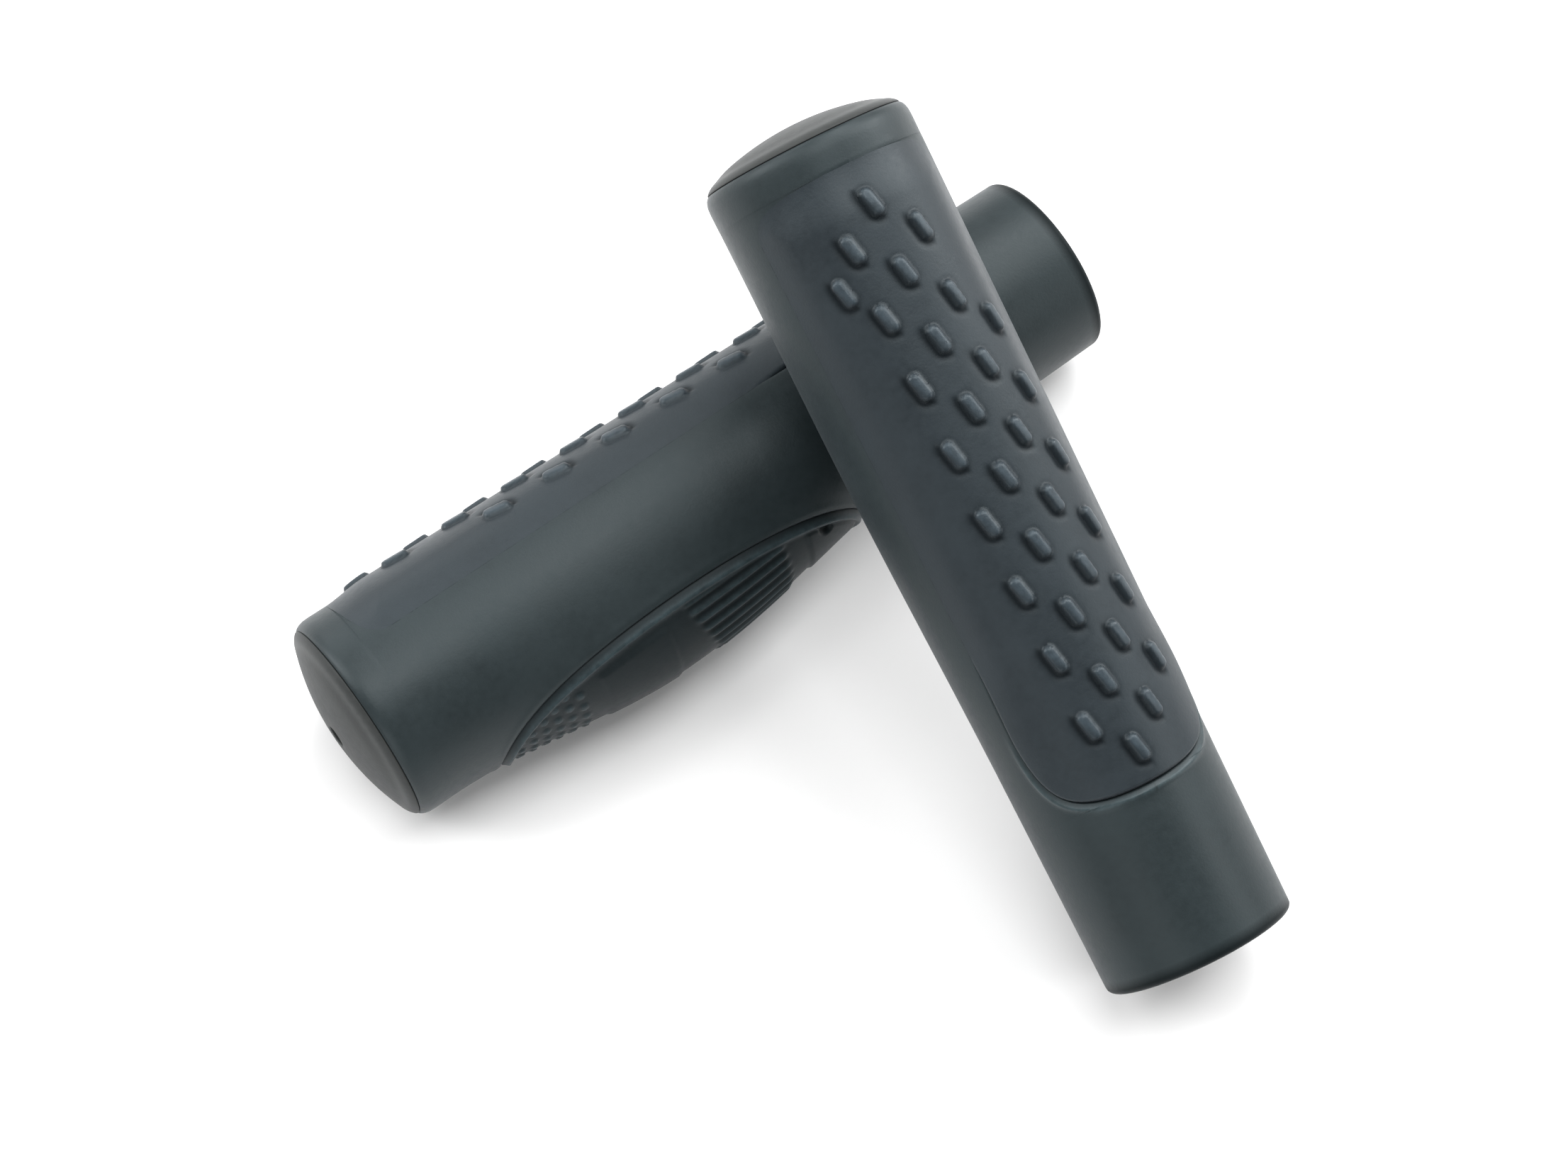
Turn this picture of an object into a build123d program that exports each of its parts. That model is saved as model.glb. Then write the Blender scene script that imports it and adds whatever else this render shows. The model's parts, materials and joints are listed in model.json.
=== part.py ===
from build123d import *
import math
import os

# A pair of slip-on comfort grips for a 22.2 mm bicycle handlebar.
#
# The left grip lies on its side on the floor. The right grip leans over it: its collar stands on
# the floor and its finger side rests on the top of the left grip. The two are mirror images.
#
# Each grip has its own frame: +X runs along the bar from the closed end (x = 0) to the collar's
# mouth, +Z is the palm side and -Z the finger side. All lengths are millimetres, angles degrees.

# One grip, outside
LENGTH = 130.0                # closed end to the collar's mouth
CLOSED_HALF_WIDTH = 15.8      # half the width across the sides, at the closed end
COLLAR_RADIUS = 14.4          # the collar is round
CLOSED_OVAL = 0.9             # extra half depth towards palm and fingers, at the closed end
LIP_RADIUS = 0.9              # rounding of the collar's outer edge

# The swell that fills the curled fingers
SWELL_HEIGHT = 4.8
SWELL_START = 8.0
SWELL_PEAK = 50.0
SWELL_END = 100.0

# The bore and the stiff sleeve that lines it
BAR_RADIUS = 11.1             # a 22.2 mm handlebar
CORE_RADIUS = 12.5
BAR_STOP = 12.0               # the bar's end comes to rest here
STOP_RADIUS = 10.4            # bore of the sleeve behind the bar stop

# The domed closed end and the cap in it
SHOULDER = 5.8                # where the rounded end meets the tapered side
END_CORNER = 3.4              # rounding between the domed face and the side
SEAM = 3.8                    # where the cap meets the rubber, on the rounded corner
VENT_RADIUS = 1.0

# The two inlaid pads
PAD_DEPTH = 1.2               # how far a pad is let into the grip
PALM_RISE = 0.6               # how far a pad stands proud
FINGER_RISE = 0.4
PALM_START = 9.0
PALM_TIP = 103.5
PALM_HALF_ANGLE = 62.0
PALM_TIP_LENGTH = 14.0        # length of the rounded tongue at the collar's side
PALM_HEEL_LENGTH = 5.0
FINGER_START = 17.5
FINGER_END = 83.5
FINGER_HALF_ANGLE = 47.0

# The nubs on the palm pad, in staggered rows along the grip. Row 0 is on the pad's middle line.
NUB_LENGTH = 4.8
NUB_WIDTH = 2.2
NUB_RISE = 0.7                # above the pad
NUB_SLANT = 12.0
NUB_PITCH = 10.4
NUB_MARGIN = 2.5              # from the last nub of a row to the pad's edge
NUB_ROW_ANGLE = 18.0          # between two rows, about the grip's axis
NUB_STARTS = {1: 20.0, 0: 15.2, -1: 21.0, -2: 36.6}               # each row's first nub
LONE_NUB = (24.8, 1.7)        # place along the grip and row of the one nub beyond the rows

# How the pair lies
LEFT_TILT = 0.88              # the tapered grip's axis falls towards its collar
LEFT_ROLL = -76.0             # its palm side faces away and a little up
RIGHT_LEAN = 21.95
RIGHT_ROLL = -4.0             # its palm side faces up
RIGHT_HEADING = 82.2          # from the left grip's axis, collar to closed end
RIGHT_COLLAR_ALONG = 81.1     # the right collar's mouth, from the left grip's closed end
RIGHT_COLLAR_ASIDE = -98.4    # and from the left grip's axis

# Where the skin's cross-sections stand, closer together along the swell
SECTIONS = (
    SHOULDER, 8.0, 15.0, 22.0, 30.0, 38.0, 46.0, 54.0,
    62.0, 70.0, 79.0, 88.0, 96.0, 106.0, 118.0, LENGTH,
)

# Construction
WEDGE_FOOT = 2.0              # the pads' wedges start inside the sleeve's bore
WEDGE_TOP = 26.0              # and end outside the skin
OVERRUN = 1.0                 # how far a drill passes a face


def side_radius(x):
    """Half the width across the sides: a straight taper."""
    return CLOSED_HALF_WIDTH + (COLLAR_RADIUS - CLOSED_HALF_WIDTH) * x / LENGTH


def palm_radius(x):
    """Half depth on the palm side: the taper plus the oval of the closed end."""
    return side_radius(x) + CLOSED_OVAL * (1 - x / LENGTH)


def swell(x):
    """Height of the finger swell, which rises and falls as a squared sine."""
    if x <= SWELL_START or x >= SWELL_END:
        return 0.0
    foot = SWELL_START if x < SWELL_PEAK else SWELL_END
    share = (x - foot) / (SWELL_PEAK - foot)
    return SWELL_HEIGHT * math.sin(share * math.pi / 2) ** 2


def finger_radius(x):
    return palm_radius(x) + swell(x)


def section(x, offset):
    """The grip's cross-section at x, grown by offset: two half ellipses."""
    width = side_radius(x) + offset
    palm = EllipticalCenterArc((0, 0), width, palm_radius(x) + offset, 0, arc_size=180)
    finger = EllipticalCenterArc((0, 0), width, finger_radius(x) + offset, 180, arc_size=180)
    plane = Plane(origin=(x, 0, 0), x_dir=(0, 1, 0), z_dir=(1, 0, 0))
    return plane * make_face([palm, finger])


def skin(offset):
    """The grip from the rounded end to the mouth, grown by offset."""
    return loft([section(x, offset) for x in SECTIONS])


def along_bar(radius, start, end):
    """A round bar on the grip's axis."""
    plane = Plane(origin=(start, 0, 0), z_dir=(1, 0, 0))
    return extrude(plane * Circle(radius), amount=end - start)


def radial_cutter(edges_at, palm_side):
    """A wedge whose walls all point at the grip's axis. edges_at(h) gives the outline at height h."""
    faces = []
    for height in (WEDGE_FOOT, WEDGE_TOP):
        plane = Plane.XY.offset(height if palm_side else -height)
        faces.append(plane * make_face(edges_at(height)))
    return loft(faces, ruled=True)


def palm_outline(height):
    """A tongue: straight sides, a long rounded tip and a short rounded heel."""
    half = height * math.tan(math.radians(PALM_HALF_ANGLE))
    tip = PALM_TIP - PALM_TIP_LENGTH
    heel = PALM_START + PALM_HEEL_LENGTH
    return [
        Line((heel, -half), (tip, -half)),
        EllipticalCenterArc((tip, 0), PALM_TIP_LENGTH, half, -90, arc_size=180),
        Line((tip, half), (heel, half)),
        EllipticalCenterArc((heel, 0), PALM_HEEL_LENGTH, half, 90, arc_size=180),
    ]


def finger_outline(height):
    """A long oval that narrows to both ends."""
    half = height * math.tan(math.radians(FINGER_HALF_ANGLE))
    middle = (FINGER_START + FINGER_END) / 2
    reach = (FINGER_END - FINGER_START) / 2
    return [
        EllipticalCenterArc((middle, 0), reach, half, -90, arc_size=180),
        EllipticalCenterArc((middle, 0), reach, half, 90, arc_size=180),
    ]


def nub(x, row):
    """One raised, round-ended nub of the palm pad, slanted a little from the grip's axis."""
    angle = math.radians(row * NUB_ROW_ANGLE)
    outward = Vector(0, -math.sin(angle), math.cos(angle))
    across, deep = side_radius(x), palm_radius(x)
    surface = across * deep / math.hypot(deep * math.sin(angle), across * math.cos(angle))
    root = Vector(x, 0, 0) + outward * (surface - PAD_DEPTH / 2)
    plane = Plane(origin=root, x_dir=(1, 0, 0), z_dir=outward)
    shape = plane * Rot(0, 0, NUB_SLANT) * SlotOverall(NUB_LENGTH, NUB_WIDTH)
    return extrude(shape, amount=PAD_DEPTH / 2 + PALM_RISE + NUB_RISE)


def nubs():
    """All the nubs: each row runs from its first one to the pad's edge."""
    widest = math.tan(math.radians(PALM_HALF_ANGLE))
    made = [nub(*LONE_NUB)]
    for row, x in NUB_STARTS.items():
        spread = math.tan(math.radians(row * NUB_ROW_ANGLE)) / widest
        reach = PALM_TIP - PALM_TIP_LENGTH * (1 - math.sqrt(1 - spread ** 2))
        while x + NUB_LENGTH / 2 + NUB_MARGIN < reach:
            made.append(nub(x, row))
            x += NUB_PITCH
    return made


def core_sleeve():
    """The stiff tube that slides onto the bar, with a step inside that stops the bar's end."""
    sleeve = along_bar(CORE_RADIUS, SEAM, LENGTH)
    sleeve -= along_bar(BAR_RADIUS, BAR_STOP, LENGTH)
    return sleeve - along_bar(STOP_RADIUS, SEAM, BAR_STOP)


def closed_end():
    """The oval end of the grip up to the shoulder: a domed face with a rounded corner."""
    mean = palm_radius(SHOULDER)
    corner = mean - END_CORNER
    ball = (corner ** 2 + SHOULDER ** 2 - END_CORNER ** 2) / (2 * (SHOULDER - END_CORNER))
    lift = math.atan2(corner, ball - SHOULDER)
    turn = (lift + math.pi / 2) / 2
    mid_dome = (ball - ball * math.cos(lift / 2), ball * math.sin(lift / 2))
    rim = (ball - ball * math.cos(lift), ball * math.sin(lift))
    mid_corner = (SHOULDER - END_CORNER * math.cos(turn), corner + END_CORNER * math.sin(turn))
    outline = [
        ThreePointArc((0, 0), mid_dome, rim),
        ThreePointArc(rim, mid_corner, (SHOULDER, mean)),
        Line((SHOULDER, mean), (SHOULDER, 0)),
        Line((SHOULDER, 0), (0, 0)),
    ]
    end = revolve(make_face(outline), Axis.X)
    return scale(end, by=(1, side_radius(SHOULDER) / mean, 1))


def end_cap():
    """The closed end up to the seam, with a spigot that presses into the sleeve, and a vent hole."""
    shell = closed_end() & along_bar(WEDGE_TOP, -OVERRUN, SEAM)
    spigot = along_bar(STOP_RADIUS, SEAM, BAR_STOP)
    return shell + spigot - along_bar(VENT_RADIUS, -OVERRUN, BAR_STOP + OVERRUN)


def grip_pieces():
    """The five pieces of one grip, in the grip's own frame, made as a right grip."""
    core = core_sleeve()
    shell = skin(0)
    buried = skin(-PAD_DEPTH)
    palm_wedge = radial_cutter(palm_outline, palm_side=True)
    finger_wedge = radial_cutter(finger_outline, palm_side=False)
    lip = shell.edges().group_by(Axis.X)[-1]
    body = fillet(lip, LIP_RADIUS)
    body += closed_end() & along_bar(WEDGE_TOP, SEAM, SHOULDER)
    body -= palm_wedge - buried
    body -= finger_wedge - buried
    body -= along_bar(CORE_RADIUS, SEAM, LENGTH)
    palm_pad = (skin(PALM_RISE) & palm_wedge) - buried
    palm_pad += nubs()
    finger_pad = (skin(FINGER_RISE) & finger_wedge) - buried
    return {
        "core_sleeve": core,
        "grip_body": body,
        "palm_pad": palm_pad,
        "finger_pad": finger_pad,
        "end_cap": end_cap(),
    }


def lying(axis, roll):
    """A place with the grip's +X along axis and its palm side rolled away from straight up."""
    aside = Vector(0, 0, 1).cross(axis).normalized()
    above = axis.cross(aside)
    turn = math.radians(roll)
    palm = above * math.cos(turn) - aside * math.sin(turn)
    return Location(Plane(origin=(0, 0, 0), x_dir=axis, z_dir=palm))


def on_floor(pieces, place, end, x, y):
    """Place the pieces with the axis at `end` over x, y and the lowest point on the floor."""
    placed = {name: place * piece for name, piece in pieces.items()}
    lowest = min(piece.bounding_box().min.Z for piece in placed.values())
    point = (place * Location((end, 0, 0))).position
    home = Location((x - point.X, y - point.Y, -lowest))
    return {name: home * piece for name, piece in placed.items()}


def pair():
    """All ten pieces, keyed by node name, with the origin at the middle of the base."""
    right = grip_pieces()
    left = {name: mirror(piece, about=Plane.XZ) for name, piece in right.items()}
    tilt = math.radians(LEFT_TILT)
    left_axis = Vector(math.cos(tilt), 0, -math.sin(tilt))
    lean = math.radians(RIGHT_LEAN)
    heading = math.radians(RIGHT_HEADING)
    level = Vector(math.cos(heading), math.sin(heading), 0)
    right_axis = level * -math.cos(lean) - Vector(0, 0, math.sin(lean))
    left_place = lying(left_axis, LEFT_ROLL)
    right_place = lying(right_axis, RIGHT_ROLL)
    left = on_floor(left, left_place, 0, 0, 0)
    right = on_floor(right, right_place, LENGTH, RIGHT_COLLAR_ALONG, RIGHT_COLLAR_ASIDE)
    nodes = {"left_" + name: piece for name, piece in left.items()}
    nodes.update({"right_" + name: piece for name, piece in right.items()})
    middle = Compound(list(nodes.values())).bounding_box().center()
    centre = Location((-middle.X, -middle.Y, 0))
    return {name: centre * piece for name, piece in nodes.items()}


os.makedirs("parts", exist_ok=True)
for node, piece in pair().items():
    export_step(piece, "parts/" + node + ".step")
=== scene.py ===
import json
import math

import bmesh
import bpy
import numpy as np
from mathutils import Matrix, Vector


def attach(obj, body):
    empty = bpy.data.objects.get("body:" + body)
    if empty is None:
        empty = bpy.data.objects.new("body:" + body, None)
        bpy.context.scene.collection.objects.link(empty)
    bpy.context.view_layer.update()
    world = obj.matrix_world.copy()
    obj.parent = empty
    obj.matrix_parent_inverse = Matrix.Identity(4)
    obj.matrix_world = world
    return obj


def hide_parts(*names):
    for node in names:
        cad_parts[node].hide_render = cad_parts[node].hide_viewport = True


# A pair of slip-on handlebar grips, one leaning over the other.
#
# Each grip is made once in its own frame, in millimetres: +X runs from the closed end (x = 0) to the
# collar's mouth, and an angle of 0 about that axis is the palm side, 180 degrees the finger side. A
# positive angle goes towards -Y. The left grip is the same shape mirrored in Y.

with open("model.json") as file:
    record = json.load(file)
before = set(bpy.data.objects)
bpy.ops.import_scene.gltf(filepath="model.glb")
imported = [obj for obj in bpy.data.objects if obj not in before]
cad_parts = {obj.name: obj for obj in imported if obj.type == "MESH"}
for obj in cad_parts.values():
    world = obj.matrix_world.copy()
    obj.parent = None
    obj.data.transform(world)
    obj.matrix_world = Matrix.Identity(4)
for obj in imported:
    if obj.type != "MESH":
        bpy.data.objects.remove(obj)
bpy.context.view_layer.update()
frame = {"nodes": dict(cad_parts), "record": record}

# --- The grip's form, as in the CAD (mm, degrees) ---
LENGTH = 130.0
CLOSED_HALF_WIDTH = 15.8
COLLAR_RADIUS = 14.4
CLOSED_OVAL = 0.9
LIP_RADIUS = 0.9
SWELL_HEIGHT = 4.8
SWELL_START = 8.0
SWELL_PEAK = 50.0
SWELL_END = 100.0
CORE_RADIUS = 12.5
BAR_STOP = 12.0
STOP_RADIUS = 10.4
SHOULDER = 5.8
END_CORNER = 3.4
SEAM = 3.8
VENT_RADIUS = 1.0
PAD_DEPTH = 1.2
PALM_RISE = 0.6
PALM_START = 9.0
PALM_TIP = 103.5
PALM_HALF_ANGLE = 62.0
PALM_TIP_LENGTH = 14.0
PALM_HEEL_LENGTH = 5.0
FINGER_START = 17.5
FINGER_END = 83.5
FINGER_HALF_ANGLE = 47.0
NUB_LENGTH = 4.8
NUB_WIDTH = 2.2
NUB_RISE = 0.7
NUB_SLANT = 12.0
NUB_PITCH = 10.4
NUB_MARGIN = 2.5
NUB_ROW_ANGLE = 18.0
NUB_STARTS = {1: 20.0, 0: 15.2, -1: 21.0, -2: 36.6}
LONE_NUB = (24.8, 1.7)
ROLLS = {"left": -76.0, "right": -4.0}

MM = 0.001
WELD = 2e-7                   # metres


# --- Small helpers ---
def smooth(share):
    """0 to 1 with level ends."""
    share = np.clip(share, 0.0, 1.0)
    return share * share * (3 - 2 * share)


def rounded(share):
    """A quarter circle: 0 and steep at 0, 1 and level at 1."""
    share = np.clip(share, 0.0, 1.0)
    return np.sqrt(1 - (1 - share) ** 2)


def bell(distance, width):
    return np.exp(-((distance / width) ** 2))


# --- The grip's skin ---
def half_width(x):
    return CLOSED_HALF_WIDTH + (COLLAR_RADIUS - CLOSED_HALF_WIDTH) * x / LENGTH


def palm_depth(x):
    return half_width(x) + CLOSED_OVAL * (1 - x / LENGTH)


def swell(x):
    x = np.asarray(x, float)
    foot = np.where(x < SWELL_PEAK, SWELL_START, SWELL_END)
    height = SWELL_HEIGHT * np.sin((x - foot) / (SWELL_PEAK - foot) * math.pi / 2) ** 2
    return np.where((x > SWELL_START) & (x < SWELL_END), height, 0.0)


def corner_drop(x):
    """How far the rounded corner of the closed end lies under the side's line."""
    below = np.clip(SHOULDER - np.asarray(x, float), 0, END_CORNER)
    return END_CORNER - np.sqrt(END_CORNER ** 2 - below ** 2)


def skin_radius(x, angle):
    at = np.maximum(x, SHOULDER)
    across = half_width(at)
    depth = palm_depth(at) + np.where(np.cos(angle) < 0, swell(at), 0.0)
    share = 1 - corner_drop(x) / palm_depth(SHOULDER)
    return share * across * depth / np.hypot(depth * np.sin(angle), across * np.cos(angle))


def points_at(x, angle, radius):
    x, angle, radius = np.broadcast_arrays(x, angle, radius)
    return np.stack([x, -radius * np.sin(angle), radius * np.cos(angle)], axis=-1)


# --- The outlines of the two pads: half their angle at x ---
def palm_half(x):
    heel = np.clip((PALM_START + PALM_HEEL_LENGTH - x) / PALM_HEEL_LENGTH, 0, 1)
    tip = np.clip((x - PALM_TIP + PALM_TIP_LENGTH) / PALM_TIP_LENGTH, 0, 1)
    share = np.sqrt(1 - heel ** 2) * np.sqrt(1 - tip ** 2)
    return np.arctan(math.tan(math.radians(PALM_HALF_ANGLE)) * share)


def finger_half(x):
    middle = (FINGER_START + FINGER_END) / 2
    reach = (FINGER_END - FINGER_START) / 2
    share = np.sqrt(1 - np.clip((x - middle) / reach, -1, 1) ** 2)
    return np.arctan(math.tan(math.radians(FINGER_HALF_ANGLE)) * share)


def eased(start, end, count):
    """Places from start to end, closer together at both ends, as on a circle."""
    turn = np.linspace(0, math.pi, count)
    return start + (end - start) * (1 - np.cos(turn)) / 2


def palm_rows(step):
    """Places along the palm pad: closer together towards the heel's and the tip's end."""
    quarter = np.linspace(0, math.pi / 2, max(8, round(14 / step)))
    heel_end = PALM_START + PALM_HEEL_LENGTH
    tip_start = PALM_TIP - PALM_TIP_LENGTH
    middle = np.linspace(heel_end, tip_start, round((tip_start - heel_end) / step) + 1)
    tip = tip_start + PALM_TIP_LENGTH * np.sin(np.linspace(0, math.pi / 2, round(22 / step)))
    return np.concatenate([heel_end - PALM_HEEL_LENGTH * np.cos(quarter), middle[1:], tip[1:]])


def outline(half_angle, places):
    """The edge of a pad, unrolled: x and the distance round the grip from the pad's middle."""
    return np.stack([places, half_width(places) * half_angle(places)], axis=-1)


PALM_EDGE = outline(palm_half, palm_rows(1.0))
FINGER_EDGE = outline(finger_half, eased(FINGER_START, FINGER_END, 120))


def edge_distance(x, angle, line):
    """Distance on the unrolled skin from each point to the pad's edge."""
    x, angle = np.broadcast_arrays(x, angle)
    points = np.stack([x.ravel(), (half_width(x) * np.abs(angle)).ravel()], axis=-1)
    start, run = line[:-1], line[1:] - line[:-1]
    length = (run ** 2).sum(1)
    nearest = np.empty(len(points))
    for first in range(0, len(points), 4096):
        some = points[first:first + 4096, None]
        share = np.clip(((some - start) * run).sum(2) / length, 0, 1)
        gap = some - start - share[..., None] * run
        nearest[first:first + 4096] = np.sqrt((gap ** 2).sum(2).min(1))
    return nearest.reshape(x.shape)


# --- Closed meshes from rings of points ---
class Rings:
    """A tube of rings with the same number of points. joined says which ones meet the next."""

    def __init__(self):
        self.points, self.worn, self.deep, self.joined = [], [], [], []

    def add(self, points, worn=0.0, deep=0.0, joined=True):
        count = len(points)
        self.points.append(points)
        self.worn.append(np.broadcast_to(worn, count))
        self.deep.append(np.broadcast_to(deep, count))
        self.joined.append(joined)


def mesh_from(name, rings, mirrored, place, wrap):
    """Quads between the rings, welded where points meet, put in the row frame in metres."""
    count = len(rings.points[0])
    total = len(rings.points)
    local = np.concatenate(rings.points)
    if mirrored:
        local = local * np.array([1.0, -1.0, 1.0])
    world = place(local)
    faces = []
    column = np.arange(count)
    following = np.roll(column, -1)
    for i in range(total if wrap else total - 1):
        if not rings.joined[i]:
            continue
        here, there = i * count, (i + 1) % total * count
        corners = [column + here, following + here, following + there, column + there]
        if mirrored:
            corners.reverse()
        faces.append(np.stack(corners, axis=-1))
    mesh = bpy.data.meshes.new(name)
    mesh.from_pydata(world.tolist(), [], np.concatenate(faces).tolist())
    # Two point attributes: how much lighter a point is painted, for wear and painted highlight, and how
    # much painted shade it gets.
    for label, values in (("worn", rings.worn), ("deep", rings.deep)):
        layer = mesh.attributes.new(label, "FLOAT", "POINT")
        layer.data.foreach_set("value", np.concatenate(values).astype(np.float32))
    weld = bmesh.new()
    weld.from_mesh(mesh)
    bmesh.ops.remove_doubles(weld, verts=weld.verts, dist=WELD)
    bmesh.ops.dissolve_degenerate(weld, edges=weld.edges, dist=WELD)
    loose = [v for v in weld.verts if not v.link_faces]
    bmesh.ops.delete(weld, geom=loose, context="VERTS")
    if weld.calc_volume(signed=True) < 0:
        bmesh.ops.reverse_faces(weld, faces=weld.faces)
    weld.to_mesh(mesh)
    weld.free()
    mesh.shade_smooth()
    mesh.set_sharp_from_angle(angle=math.radians(52))
    return mesh


# --- The rubber body ---
EDGE_STEPS = np.array([0, .1, .22, .36, .52, .7, .9, 1.12, 1.38, 1.7, 2.1, 2.7, 3.4, 4.2])
SIDE_SPAN = 20.0
SKIN_ROUNDING = 0.45          # of the skin's edge beside a pad and beside the cap
PALM_GROOVE, FINGER_GROOVE, SEAM_GROOVE = 0.45, 0.4, 0.2          # depths
GROOVE_FROM, GROOVE_FULL = 76.0, 92.0
BEAD_AWAY = 1.0               # from a pad's edge to the middle of the bead beside it
BEAD_RISE, BEAD_WIDTH = 0.32, 0.42
BEAD_FROM, BEAD_BUILD = 88.0, 10.0
FINGER_BEAD_RISE, FINGER_BEAD_WIDTH = 0.1, 0.5


def side_steps():
    """Shares of the way from the palm pad's edge to the finger pad's, finer near both."""
    near = EDGE_STEPS / SIDE_SPAN
    middle = np.linspace(near[-1], 1 - near[-1], 19)[1:-1]
    return np.concatenate([near, middle, (1 - near)[::-1]])


def groove_share(x):
    """The groove round the palm pad is open at the collar's side and closes towards the other."""
    return smooth((x - GROOVE_FROM) / (GROOVE_FULL - GROOVE_FROM))


def body_lift(x, angle):
    """Height of the body's surface over the plain skin, its painted shade in the grooves and at the seam,
    and the bead's painted highlight.
    """
    palm = edge_distance(x, angle, PALM_EDGE)
    from_finger = math.pi - np.abs(angle)
    finger = edge_distance(x, from_finger, FINGER_EDGE)
    groove = groove_share(x)
    palm_drop = groove * (1 - rounded(palm / SKIN_ROUNDING))
    finger_drop = 1 - rounded(finger / SKIN_ROUNDING)
    seam_drop = 1 - rounded((x - SEAM) / SKIN_ROUNDING)
    bead = smooth((x - BEAD_FROM) / BEAD_BUILD) * bell(palm - BEAD_AWAY, BEAD_WIDTH)
    lift = BEAD_RISE * bead + FINGER_BEAD_RISE * bell(finger - BEAD_AWAY, FINGER_BEAD_WIDTH)
    lift = lift - PALM_GROOVE * palm_drop - FINGER_GROOVE * finger_drop - SEAM_GROOVE * seam_drop
    # Painted shade in the grooves and at the seam; the bead, returned last, is painted lighter as a
    # highlight.
    deep = np.clip(palm_drop + finger_drop + 0.5 * seam_drop, 0, 1)
    return lift, deep, bead


# A pocket's points: shares of the way down a wall, and of the way across the floor
WALL = np.array([0.0, 0.5, 1.0])
FLOOR = np.linspace(-1, 1, 9)[1:-1]
POCKET_COUNT = 2 * len(WALL) + len(FLOOR)


def pocket(x, middle, half, is_open):
    """One ring's points across a pad's pocket: down one wall, over the floor and up the other."""
    first = np.array([middle - half])
    lift = body_lift(x, first)[0][0]
    top = skin_radius(x, first)[0] + lift
    if not is_open:
        return points_at(x, np.full(POCKET_COUNT, middle), np.full(POCKET_COUNT, top))
    floor = skin_radius(x, first)[0] - PAD_DEPTH
    down = top + (floor - top) * WALL
    floor_angle = middle + half * FLOOR
    near, far = np.full(len(WALL), middle - half), np.full(len(WALL), middle + half)
    angle = np.concatenate([near, floor_angle, far])
    radius = np.concatenate([down, skin_radius(x, floor_angle) - PAD_DEPTH, down[::-1]])
    return points_at(x, angle, radius)


def body_ring(x, palm_open, finger_open):
    """One outer ring: a side, across the finger pocket, the other side, across the palm pocket."""
    palm = float(palm_half(x)) if palm_open else 0.0
    finger = float(finger_half(x)) if finger_open else 0.0
    share = side_steps()
    angle = palm + (math.pi - finger - palm) * share
    lift, deep, worn = body_lift(np.full_like(angle, x), angle)
    side = points_at(x, angle, skin_radius(x, angle) + lift)
    other = side[::-1] * np.array([1.0, -1.0, 1.0])
    finger_pocket = pocket(x, math.pi, finger, finger_open)
    palm_pocket = pocket(x, 0.0, palm, palm_open)
    points = np.concatenate([side, finger_pocket, other, palm_pocket])
    # The pockets under the pads get full painted shade; only the sides keep the bead's painted highlight.
    blank = np.ones(len(finger_pocket))
    deep = np.concatenate([deep, blank * finger_open, deep[::-1], blank * palm_open])
    worn = np.concatenate([worn, blank * 0, worn[::-1], blank * 0])
    return points, worn, deep


def inner_ring(x, radius):
    """A round ring inside the body, with its points under those of a closed outer ring."""
    share = side_steps() * math.pi
    angle = np.concatenate([
        share, np.full(POCKET_COUNT, math.pi), 2 * math.pi - share[::-1], np.full(POCKET_COUNT, 0.0)])
    return points_at(x, angle, np.full(len(angle), radius))


# Where the body's rings stand from the seam, from the palm pad's tip and from the finger pad's ends
SEAM_STEPS = np.array([0, .06, .14, .24, .36, .5, .8, 1.4, 2.4, 3.6, 4.6])
TIP_STEPS = np.array([.1, .25, .42, .6, .8, 1.0, 1.2, 1.42, 1.7, 2.1, 2.7, 3.5, 4.5])
END_STEPS = np.array([.03, .12, .3, .6, 1.0])


def body_places():
    """The places of the body's rings, close together where its shape changes fast."""
    seam = SEAM + SEAM_STEPS
    middle = np.arange(PALM_START + PALM_HEEL_LENGTH, PALM_TIP - PALM_TIP_LENGTH, 0.8)
    beyond = PALM_TIP + TIP_STEPS
    collar = np.arange(PALM_TIP + 6, LENGTH - LIP_RADIUS - 0.5, 1.4)
    ends = [PALM_START, FINGER_START, FINGER_END, PALM_TIP]
    tip = PALM_TIP - PALM_TIP_LENGTH * (1 - np.sin(np.linspace(0, math.pi / 2, 34)))
    heel = PALM_START + PALM_HEEL_LENGTH * (1 - np.cos(np.linspace(0, math.pi / 2, 12)))
    finger_ends = np.concatenate([FINGER_START + END_STEPS, FINGER_END - END_STEPS])
    places = np.concatenate([seam, middle, beyond, collar, ends, tip, heel, finger_ends])
    return np.unique(np.round(places, 4))


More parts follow.
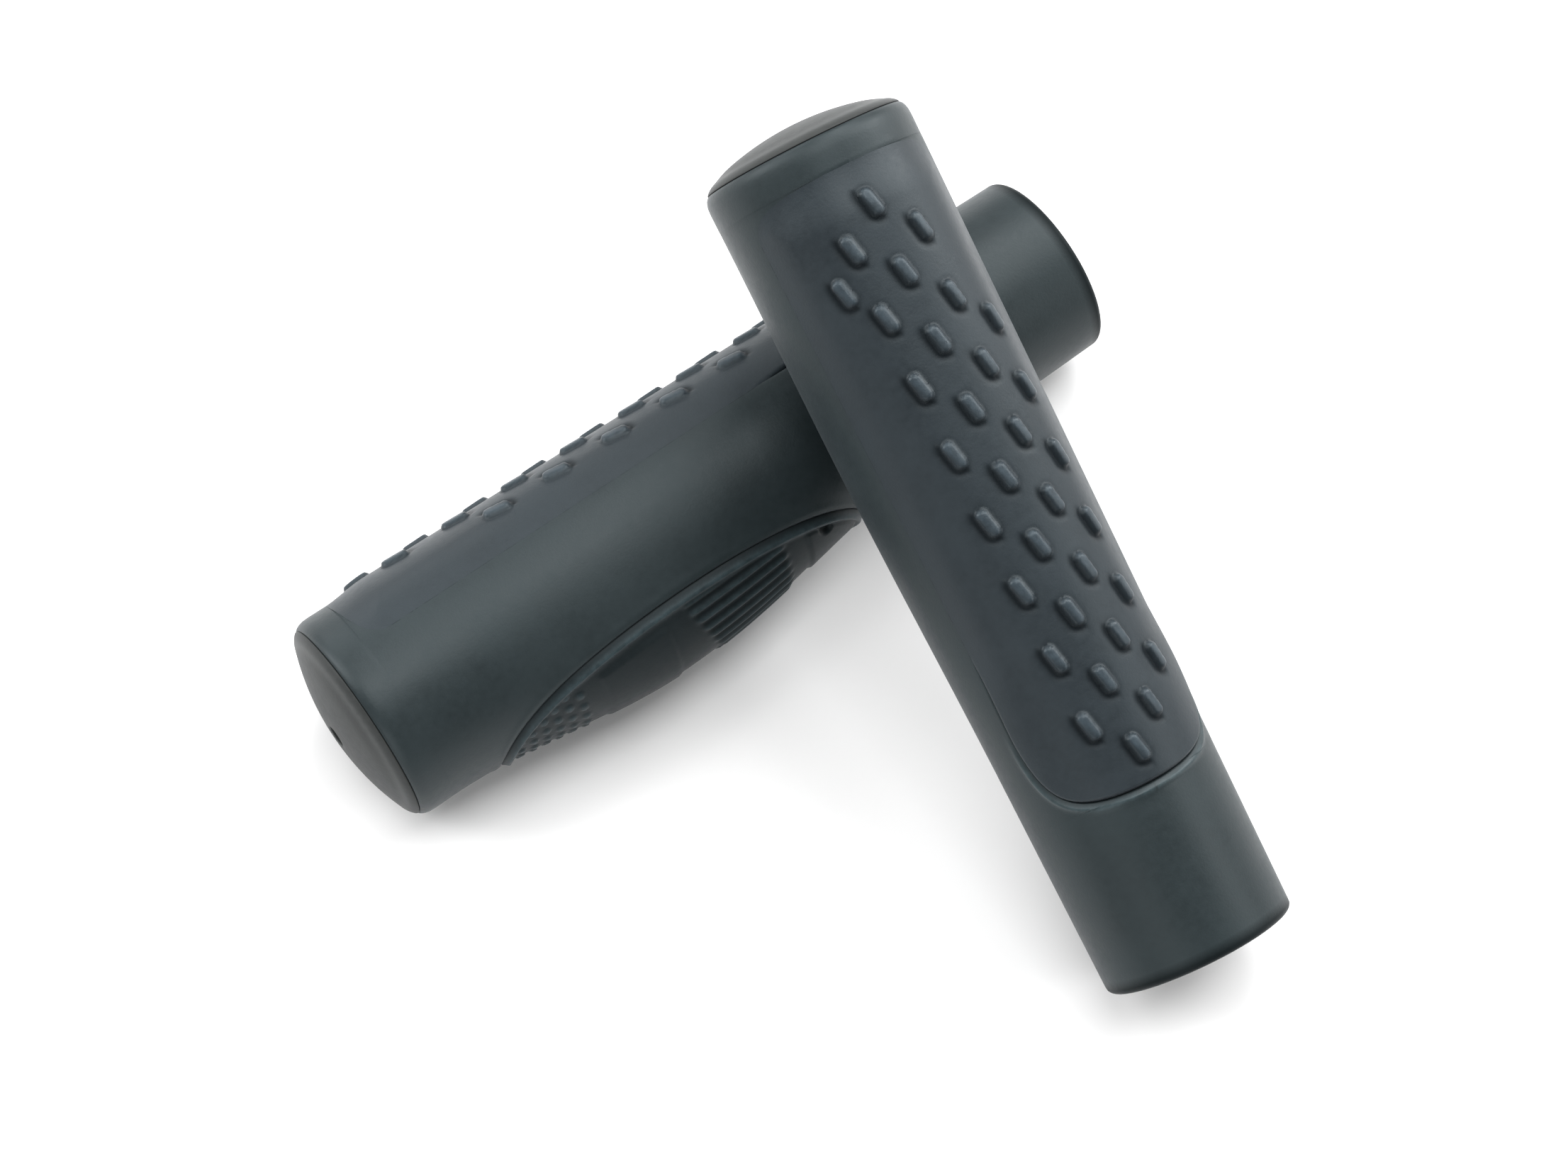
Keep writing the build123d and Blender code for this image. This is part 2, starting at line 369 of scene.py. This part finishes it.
def body_rings():
    """The body's rings over its outside, round the collar's lip and back along its inside."""
    rings = Rings()
    for x in body_places():
        palm_open = PALM_START <= x <= PALM_TIP
        finger_open = FINGER_START <= x <= FINGER_END
        states = [(palm_open, finger_open)]
        if x == PALM_START:
            states.insert(0, (False, finger_open))
        if x == FINGER_START:
            states.insert(0, (palm_open, False))
        if x == FINGER_END:
            states.append((palm_open, False))
        if x == PALM_TIP:
            states.append((False, finger_open))
        for k, state in enumerate(states):
            points, worn, deep = body_ring(x, *state)
            rings.add(points, worn, deep, joined=k == len(states) - 1)
    # The lip's rounding and the bore just inside it get full painted shade.
    turn = np.linspace(0, math.pi / 2, 8)
    for t in turn:
        x = LENGTH - LIP_RADIUS * (1 - math.sin(t))
        points, worn, deep = body_ring(min(x, LENGTH), False, False)
        radius = np.hypot(points[:, 1], points[:, 2])
        shrink = (radius - LIP_RADIUS * (1 - math.cos(t))) / radius
        rings.add(points * np.stack([np.ones_like(shrink), shrink, shrink], axis=-1), deep=1.0)
    for x, radius in ((LENGTH, CORE_RADIUS + 0.25), (LENGTH - 0.25, CORE_RADIUS)):
        rings.add(inner_ring(x, radius), deep=1.0)
    for x in np.linspace(LENGTH - 10, SEAM, 5):
        rings.add(inner_ring(x, CORE_RADIUS))
    return rings


# --- The palm pad with its nubs ---
PALM_ROUNDING = 0.6           # of the pad's edge where a groove goes round it
PALM_SLOPE = 7.0              # how far in the pad is at its full height where none does
NUB_SIDE = 0.5                # how far in from its outline a nub is at its full height
NUB_CROWN = 0.16              # rounding over a nub's top
NUB_FOOT_WIDTH = 0.42         # of the hollow round a nub's foot
NUB_FOOT_DEPTH = 0.16


def all_nubs():
    """Each nub's place along the grip and its row."""
    widest = math.tan(math.radians(PALM_HALF_ANGLE))
    made = [LONE_NUB]
    for row, x in NUB_STARTS.items():
        spread = math.tan(math.radians(row * NUB_ROW_ANGLE)) / widest
        reach = PALM_TIP - PALM_TIP_LENGTH * (1 - math.sqrt(1 - spread ** 2))
        while x + NUB_LENGTH / 2 + NUB_MARGIN < reach:
            made.append((x, row))
            x += NUB_PITCH
    return made


def nub_lift(x, angle):
    """Height of the nubs over the pad, how much lighter they are painted for wear and highlight, and how
    near a point is to a nub's foot.

    The side of a nub away from the light gets painted shade round its foot, and its top towards the light
    a painted highlight besides its wear.
    """
    lift, worn, foot = np.zeros_like(x), np.zeros_like(x), np.zeros_like(x)
    slant = math.radians(NUB_SLANT)
    for place, row in all_nubs():
        along = x - place
        round_it = half_width(x) * (angle - math.radians(row * NUB_ROW_ANGLE))
        long = along * math.cos(slant) - round_it * math.sin(slant)
        across = along * math.sin(slant) + round_it * math.cos(slant)
        distance = np.hypot(np.maximum(np.abs(long) - (NUB_LENGTH - NUB_WIDTH) / 2, 0), across)
        inside = NUB_WIDTH / 2 - distance
        rise = (NUB_RISE - NUB_CROWN) * smooth(inside / NUB_SIDE)
        crown = NUB_CROWN * np.clip(1 - (distance / (NUB_WIDTH / 2)) ** 2, 0, 1)
        # 0 on the side of the nub towards the light, 1 on the side away from it, where the painted shade
        # goes
        shaded_side = smooth((across + 0.25 * long) / 0.7 + 0.2)
        # Painted shade round the foot, strongest on the side away from the light.
        near_foot = bell(inside + 0.15 * shaded_side, NUB_FOOT_WIDTH + 0.23 * shaded_side)
        lift = np.maximum(lift, rise + crown)
        # Tops painted lighter, partly wear and partly a painted highlight on the side towards the light.
        worn = np.maximum(worn, smooth((rise + crown) / NUB_RISE) * (1 - 0.65 * shaded_side))
        foot = np.maximum(foot, near_foot * (0.25 + 0.75 * shaded_side))
    return lift, worn, foot


def palm_lift(x, angle):
    """Height over the plain skin, painted shade in the groove and at the nubs' feet, and how much lighter
    the nubs are painted for wear and highlight. angle 0 is the pad's middle.
    """
    edge = edge_distance(x, angle, PALM_EDGE)
    groove = groove_share(x)
    sharp = rounded(edge / PALM_ROUNDING)
    soft = smooth(edge / PALM_SLOPE)
    drop = groove * (1 - sharp)
    nub, worn, foot = nub_lift(x, angle)
    lift = PALM_RISE * (groove * sharp + (1 - groove) * soft) - PALM_GROOVE * drop + nub
    lift = lift - NUB_FOOT_DEPTH * foot * (1 - smooth(nub / NUB_RISE))
    # Painted shade: the groove round the pad and the foot of each nub, mostly on its side away from the
    # light.
    return lift, np.clip(drop * 1.2 + foot, 0, 1), worn


# --- The finger pad with its ribs ---
FINGER_ROUNDING = 0.5
RIM_AWAY, RIM_WIDTH, RIM_RISE = 1.05, 0.48, 0.5                   # the rim just inside the edge
FIELD_DROP = 0.12             # the field within the rim
RIB_PITCH = 5.75              # degrees
RIB_START, RIB_END = 50.0, 69.0
RIB_SLANT, RIB_SLANT_FROM = 0.1, 39.5                             # mm per degree, degrees
RIB_RISE = 0.42
DOT_END = 32.5
DOT_ALONG, DOT_AROUND, DOT_RADIUS, DOT_RISE = 2.1, 2.2, 0.75, 0.3
PATCH_START, PATCH_END = 34.5, 47.5
PATCH_RISE = 0.3
ISLAND_START = 72.0
ISLAND_RISE = 0.34
EYE = (75.8, 27.0)            # place along the grip, degrees from the pad's middle
EYE_RADIUS, EYE_DEPTH = 1.5, 0.7


def finger_lift(x, angle):
    """Height over the plain skin, painted shade in the groove, between the ribs and in the eye, and how
    much lighter the rim, ribs and dots are painted for wear and highlight. angle 0 is the pad's middle.
    """
    edge = edge_distance(x, angle, FINGER_EDGE)
    away = np.degrees(np.abs(angle))
    sharp = rounded(edge / FINGER_ROUNDING)
    drop = 1 - sharp
    rim = bell(edge - RIM_AWAY, RIM_WIDTH) * sharp
    field = smooth((edge - 1.5) / 0.6)
    round_it = half_width(x) * angle
    start = RIB_START + (RIB_SLANT_FROM - away) * RIB_SLANT
    ribs = field * smooth((x - start) / 1.2) * smooth((RIB_END - x) / 1.5)
    ridge = ribs * (0.5 + 0.5 * np.cos(2 * math.pi * away / RIB_PITCH)) ** 1.3
    cell_x = (x - FINGER_START) / DOT_ALONG
    shift = np.where(np.floor(cell_x) % 2 == 0, 0.0, 0.5)
    cell_y = round_it / DOT_AROUND + shift
    dot_distance = np.hypot((cell_x % 1 - 0.5) * DOT_ALONG, (cell_y % 1 - 0.5) * DOT_AROUND)
    dots = field * smooth((DOT_END - x) / 0.6) * smooth((DOT_RADIUS - dot_distance) / 0.4)
    patch = field * smooth((x - PATCH_START) / 1.0) * smooth((PATCH_END - x) / 1.0)
    patch = patch * smooth((edge - 2.4) / 0.9)
    island = smooth((edge - 1.7) / 0.6) * smooth((x - ISLAND_START) / 0.8)
    eye_distance = np.hypot(x - EYE[0], half_width(x) * np.radians(away - EYE[1]))
    eye = smooth((EYE_RADIUS - eye_distance) / 0.7) * island
    lift = -FINGER_GROOVE * drop + RIM_RISE * rim - FIELD_DROP * field + RIB_RISE * ridge
    lift = lift + DOT_RISE * dots + PATCH_RISE * patch + ISLAND_RISE * island - EYE_DEPTH * eye
    # Painted shade in the groove, between the ribs and in the eye; the rim, ribs and dots painted
    # lighter, partly wear and partly painted highlight.
    deep = np.clip(drop + ribs * (1 - ridge) * 0.55 + eye, 0, 1)
    worn = np.clip(rim + ridge * 0.85 + dots * 0.75, 0, 1)
    return lift, deep, worn


# --- Both pads as closed tubes ---
PAD_OVERLAP = 0.05


def grown(half_angle, places):
    """A pad's half angle, grown so that it laps over the skin's edge by a hair and no gap shows."""
    inward = np.where(places < places.mean(), PAD_OVERLAP, -PAD_OVERLAP)
    reach = half_angle(places + inward) + PAD_OVERLAP / half_width(places)
    reach[[0, -1]] = 0.0
    return reach


def pad_rings(places, half_angle, middle, lift_at, columns):
    """A pad's rings: each goes over its top, down a wall, along its base and up again."""
    across = np.sin(np.linspace(-math.pi / 2, math.pi / 2, columns)) * 0.22
    across = across + np.linspace(-1, 1, columns) * 0.78
    base = np.linspace(1, -1, 9)
    x = np.repeat(places[:, None], columns, axis=1)
    reach = grown(half_angle, places)
    angle = reach[:, None] * across
    half = half_angle(places)[:, None]
    lift, deep, worn = lift_at(x, np.clip(angle, -half, half))
    rings = Rings()
    for i, place in enumerate(places):
        turned = angle[i] + middle
        top_radius = skin_radius(x[i], turned) + lift[i]
        floor_angle = reach[i] * base + middle
        floor_radius = skin_radius(place, floor_angle) - PAD_DEPTH
        wall = WALL[1:-1]
        right = top_radius[-1] + (floor_radius[0] - top_radius[-1]) * wall
        left = floor_radius[-1] + (top_radius[0] - floor_radius[-1]) * wall
        all_angle = np.concatenate([
            turned, np.full(len(wall), turned[-1]), floor_angle, np.full(len(wall), turned[0])])
        all_radius = np.concatenate([top_radius, right, floor_radius, left])
        extra = len(all_angle) - columns
        # The pad's walls and base get full painted shade.
        rings.add(
            points_at(place, all_angle, all_radius),
            np.concatenate([worn[i], np.zeros(extra)]),
            np.concatenate([deep[i], np.ones(extra)]))
    return rings


# --- The end cap ---
# The vent's wall and its flared rim, as places along the grip and radii
VENT_PROFILE = [
    (BAR_STOP, VENT_RADIUS), (6.0, VENT_RADIUS), (0.9, VENT_RADIUS),
    (0.62, 1.08), (0.42, 1.3), (0.2, 1.55), (0.09, 1.78),
]
FLARE_RADIUS = 2.1
# The cap's rounded edge at the seam: how far back from the seam and how far in
SEAM_EDGE = ((0.18, 0.04), (0.08, 0.12), (0.02, 0.24), (0.0, 0.4))
HIGHLIGHT_RING = 2.4               # the middle of the ring painted lighter as a highlight on the rounded edge, from the side of the cap


def cap_profile():
    """Places and radii from the spigot's end, through the vent, over the dome and back to the spigot."""
    mean = float(palm_depth(SHOULDER))
    corner = mean - END_CORNER
    ball = (corner ** 2 + SHOULDER ** 2 - END_CORNER ** 2) / (2 * (SHOULDER - END_CORNER))
    rim = ball * corner / math.hypot(corner, ball - SHOULDER)
    profile = list(VENT_PROFILE)
    for r in np.concatenate([[FLARE_RADIUS], np.linspace(FLARE_RADIUS + 0.5, rim, 26)]):
        profile.append((ball - math.sqrt(ball ** 2 - r ** 2), r))
    for x in np.linspace(profile[-1][0], SEAM - 0.3, 12)[1:]:
        profile.append((x, mean - float(corner_drop(x))))
    for back, inward in SEAM_EDGE:
        profile.append((SEAM - back, mean - float(corner_drop(SEAM - back)) - inward))
    profile += [(SEAM, STOP_RADIUS), (BAR_STOP - 0.5, STOP_RADIUS), (BAR_STOP, STOP_RADIUS - 0.5)]
    return profile, mean


def cap_rings():
    """The cap's rings, round at the spigot and as oval as the grip at its edge."""
    profile, mean = cap_profile()
    squeeze = float(half_width(SHOULDER)) / mean
    angle = np.linspace(0, 2 * math.pi, 145)[:-1]
    rings = Rings()
    for x, radius in profile:
        oval = 1 + (squeeze - 1) * float(smooth((radius - STOP_RADIUS) / (mean - STOP_RADIUS - 2)))
        points = points_at(x, angle, np.full(len(angle), radius))
        points[:, 1] *= oval
        # Painted shade in the vent and at the seam, and a painted highlight on a ring over the rounded
        # edge.
        deep = 1.0 if radius < 1.6 or x > SEAM - 0.1 else 0.0
        worn = 0.6 * float(bell(radius - mean + HIGHLIGHT_RING, 0.9)) * (x < SEAM - 0.3)
        rings.add(points, worn, deep)
    return rings


# --- Materials ---
def node(tree, kind, inputs=None, **settings):
    made = tree.nodes.new(kind)
    for name, value in settings.items():
        setattr(made, name, value)
    for name, value in (inputs or {}).items():
        if isinstance(value, bpy.types.NodeSocket):
            tree.links.new(value, made.inputs[name])
        else:
            made.inputs[name].default_value = value
    return made


def noise(tree, where, scale, detail=2.0):
    made = node(tree, "ShaderNodeTexNoise", {
        "Vector": where, "Scale": scale, "Detail": detail, "Roughness": 0.55})
    return made.outputs["Fac"]


def spread(tree, value, low, high):
    """A noise value, mostly 0.3 to 0.7, stretched to low to high."""
    made = node(tree, "ShaderNodeMapRange", {
        "Value": value, "From Min": 0.3, "From Max": 0.7, "To Min": low, "To Max": high})
    return made.outputs["Result"]


def maths(tree, operation, a, b):
    made = node(tree, "ShaderNodeMath", {0: a, 1: b}, operation=operation)
    return made.outputs[0]


def mixed(tree, share, a, b):
    made = node(tree, "ShaderNodeMix", data_type="RGBA")
    for socket, value in ((made.inputs[0], share), (made.inputs[6], a), (made.inputs[7], b)):
        if isinstance(value, bpy.types.NodeSocket):
            tree.links.new(value, socket)
        elif isinstance(value, tuple):
            socket.default_value = (*value, 1.0)
        else:
            socket.default_value = value
    return made.outputs[2]


def moulded(name, colour, rough, grain, sheen, worn_gain, grain_scale=2600.0, mirror=0.3):
    """Moulded rubber or plastic: fine grain, faint mottling, painted shade in grooves and recesses, and
    edges painted lighter, partly for wear and partly as painted highlight.

    rough is its roughness, grain the strength of its grain, the gain after sheen how much lighter than
    colour an edge with wear or a painted highlight is, and mirror its specular level.
    """
    material = bpy.data.materials.new(name)
    material.use_nodes = True
    tree = material.node_tree
    shader = tree.nodes["Principled BSDF"]
    where = node(tree, "ShaderNodeTexCoord").outputs["Object"]
    worn = node(tree, "ShaderNodeAttribute", attribute_name="worn").outputs["Fac"]
    deep = node(tree, "ShaderNodeAttribute", attribute_name="deep").outputs["Fac"]
    fine = noise(tree, where, grain_scale, 3.0)
    speck = noise(tree, where, 900.0, 3.0)
    cloud = noise(tree, where, 85.0, 3.0)
    dark = tuple(c * 0.86 for c in colour)
    light = tuple(c * 1.14 for c in colour)
    base = mixed(tree, spread(tree, cloud, 0, 1), dark, light)
    base = mixed(tree, spread(tree, speck, 0, 0.35), base, tuple(c * 1.35 for c in colour))
    # Painted lightening: wear on nub tops, rim, ribs and dots, and painted highlight on those, the bead
    # and the cap's rounded edge.
    lightened_share = maths(tree, "MULTIPLY", worn, spread(tree, speck, 0.35, 0.8))
    base = mixed(tree, lightened_share, base, tuple(c * worn_gain for c in colour))
    # Painted shade: grooves, recesses, pockets, the collar's lip and the nubs' feet darkened towards a
    # third of the colour.
    base = mixed(tree, maths(tree, "MULTIPLY", deep, 0.8), base, tuple(c * 0.3 for c in colour))
    tree.links.new(base, shader.inputs["Base Color"])
    gloss = spread(tree, cloud, rough - 0.04, rough + 0.04)
    gloss = maths(tree, "ADD", gloss, spread(tree, speck, -0.03, 0.03))
    gloss = maths(tree, "SUBTRACT", gloss, maths(tree, "MULTIPLY", worn, 0.07))
    tree.links.new(gloss, shader.inputs["Roughness"])
    height = maths(tree, "ADD", fine, maths(tree, "MULTIPLY", speck, 0.6))
    bump = node(tree, "ShaderNodeBump", {"Height": height, "Strength": grain, "Distance": 0.00005})
    tree.links.new(bump.outputs["Normal"], shader.inputs["Normal"])
    # Painted shade lowers the specular level as well.
    glint = maths(tree, "SUBTRACT", mirror, maths(tree, "MULTIPLY", deep, mirror * 0.75))
    tree.links.new(glint, shader.inputs["Specular IOR Level"])
    shader.inputs["Specular Tint"].default_value = (0.88, 0.97, 1.0, 1.0)
    shader.inputs["Sheen Weight"].default_value = sheen
    shader.inputs["Sheen Roughness"].default_value = 0.45
    shader.inputs["Sheen Tint"].default_value = (0.85, 0.92, 1.0, 1.0)
    return material


def plain_surface(name, colour):
    """The studio floor: pale and even, with the faintest paper texture."""
    material = bpy.data.materials.new(name)
    material.use_nodes = True
    tree = material.node_tree
    where = node(tree, "ShaderNodeTexCoord").outputs["Object"]
    cloud = noise(tree, where, 30.0)
    base = mixed(tree, spread(tree, cloud, 0, 1), colour, tuple(c * 0.99 for c in colour))
    shader = tree.nodes["Principled BSDF"]
    tree.links.new(base, shader.inputs["Base Color"])
    shader.inputs["Roughness"].default_value = 0.9
    shader.inputs["Specular IOR Level"].default_value = 0.1
    return material


MATERIALS = {
    "body_skin": moulded(
        "charcoal_rubber", (0.0098, 0.0148, 0.0164), rough=0.46, grain=0.35, sheen=0.03, worn_gain=3.4),
    "palm_inlay": moulded(
        "palm_rubber_nubbed", (0.0104, 0.0146, 0.0180), rough=0.45, grain=0.4, sheen=0.03, worn_gain=3.0),
    "finger_inlay": moulded(
        "finger_rubber_ribbed", (0.0063, 0.0095, 0.0107), rough=0.47, grain=0.35, sheen=0.03,
        worn_gain=5.2, mirror=0.18),
    "closed_end": moulded(
        "cap_satin_rubber", (0.028, 0.0295, 0.029), rough=0.5, grain=0.3, sheen=0.02,
        worn_gain=2.2, grain_scale=1800.0, mirror=0.12),
    "core": moulded(
        "core_black_plastic", (0.009, 0.0095, 0.01), rough=0.42, grain=0.2, sheen=0.0,
        worn_gain=1.3, grain_scale=1500.0),
}
SLOTS = {
    "body_skin": ("grip_body", "soft_rubber"),
    "palm_inlay": ("palm_pad", "palm_rubber"),
    "finger_inlay": ("finger_pad", "finger_rubber"),
    "closed_end": ("end_cap", "cap_plastic"),
}


# --- The two grips in their places ---
def placing(side):
    """A function that puts a grip's own points, in mm, in the row frame, in metres."""
    mount = next(m for m in frame["record"]["mounts"] if m["name"] == side + "_bar_bore")
    axis = Vector(mount["axis"]).normalized()
    aside = Vector((0, 0, 1)).cross(axis).normalized()
    above = axis.cross(aside)
    roll = math.radians(ROLLS[side])
    palm = above * math.cos(roll) - aside * math.sin(roll)
    basis = np.array([axis, palm.cross(axis), palm])
    end = np.array(mount["pos_m"]) - np.array(axis) * LENGTH * MM
    return lambda points: end + points * MM @ basis


SHAPES = {
    "body_skin": (body_rings(), True),
    "palm_inlay": (pad_rings(palm_rows(0.27), palm_half, 0.0, palm_lift, 141), False),
    "finger_inlay": (
        pad_rings(eased(FINGER_START, FINGER_END, 250), finger_half, math.pi, finger_lift, 121), False),
    "closed_end": (cap_rings(), True),
}
for side in ("left", "right"):
    place = placing(side)
    for piece, (rings, wrap) in SHAPES.items():
        name = side + "_" + piece
        mesh = mesh_from(name, rings, side == "left", place, wrap)
        mesh.materials.append(MATERIALS[piece])
        made = bpy.data.objects.new(name, mesh)
        bpy.context.scene.collection.objects.link(made)
        cad_piece, slot = SLOTS[piece]
        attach(made, side + "_grip")
        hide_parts(side + "_" + cad_piece)
    core = frame["nodes"][side + "_core_sleeve"]
    core.material_slots[0].material = MATERIALS["core"]


# --- Floor, light and camera ---
def studio_floor():
    half = 3.0
    steps = np.linspace(-half, half, 13)
    corners = [(x, y, 0.0) for y in steps for x in steps]
    count = len(steps)
    faces = [
        (j * count + i, j * count + i + 1, (j + 1) * count + i + 1, (j + 1) * count + i)
        for j in range(count - 1) for i in range(count - 1)]
    mesh = bpy.data.meshes.new("studio_floor")
    mesh.from_pydata(corners, [], faces)
    mesh.materials.append(plain_surface("pale_floor", (0.74, 0.74, 0.74)))
    floor = bpy.data.objects.new("studio_floor", mesh)
    bpy.context.scene.collection.objects.link(floor)


def aimed(thing, place, target):
    thing.location = place
    thing.rotation_euler = (Vector(target) - Vector(place)).to_track_quat("-Z", "Y").to_euler()
    bpy.context.scene.collection.objects.link(thing)


def softbox(name, azimuth, height, power):
    """A square softbox a metre from the grips, at an azimuth and height in degrees."""
    lamp = bpy.data.lights.new(name, "AREA")
    lamp.size = 0.45
    lamp.energy = power
    turn, rise = math.radians(azimuth), math.radians(height)
    place = (math.cos(rise) * math.cos(turn), math.cos(rise) * math.sin(turn), math.sin(rise))
    aimed(bpy.data.objects.new(name, lamp), place, (0, 0, 0.02))


# Name, azimuth, height (degrees) and power (W)
SOFTBOXES = (
    ("right_low", 0, 25, 6.4),
    ("right_high", 0, 52, 4.4),
    ("back_right_low", 45, 25, 1.1),
    ("back_right_high", 45, 52, 5.3),
    ("back_low", 90, 25, 3.2),
    ("back_left_low", 135, 25, 5.5),
    ("back_left_high", 135, 52, 3.4),
    ("left_low", 190, 25, 0.6),
    ("front_left_low", 225, 25, 2.9),
    ("front_right_low", 315, 25, 3.0),
    ("top", 0, 88, 5.0),
)
CAMERA_PLACE = (-0.118140, -0.140464, 0.513620)
CAMERA_TARGET = (0.004572, 0.025086, 0.0)

studio_floor()
for name, azimuth, height, power in SOFTBOXES:
    softbox(name, azimuth, height, power)
world = bpy.data.worlds.new("studio")
world.use_nodes = True
world.node_tree.nodes["Background"].inputs["Color"].default_value = (1.0, 1.0, 1.0, 1.0)
world.node_tree.nodes["Background"].inputs["Strength"].default_value = 0.19
bpy.context.scene.world = world
bpy.context.scene.view_settings.view_transform = "Standard"

lens = bpy.data.cameras.new("camera")
lens.lens = 83.84
lens.sensor_width = 36.0
lens.sensor_fit = "HORIZONTAL"
lens.clip_start = 0.01
lens.clip_end = 50.0
camera = bpy.data.objects.new("camera", lens)
aimed(camera, CAMERA_PLACE, CAMERA_TARGET)
bpy.context.scene.camera = camera
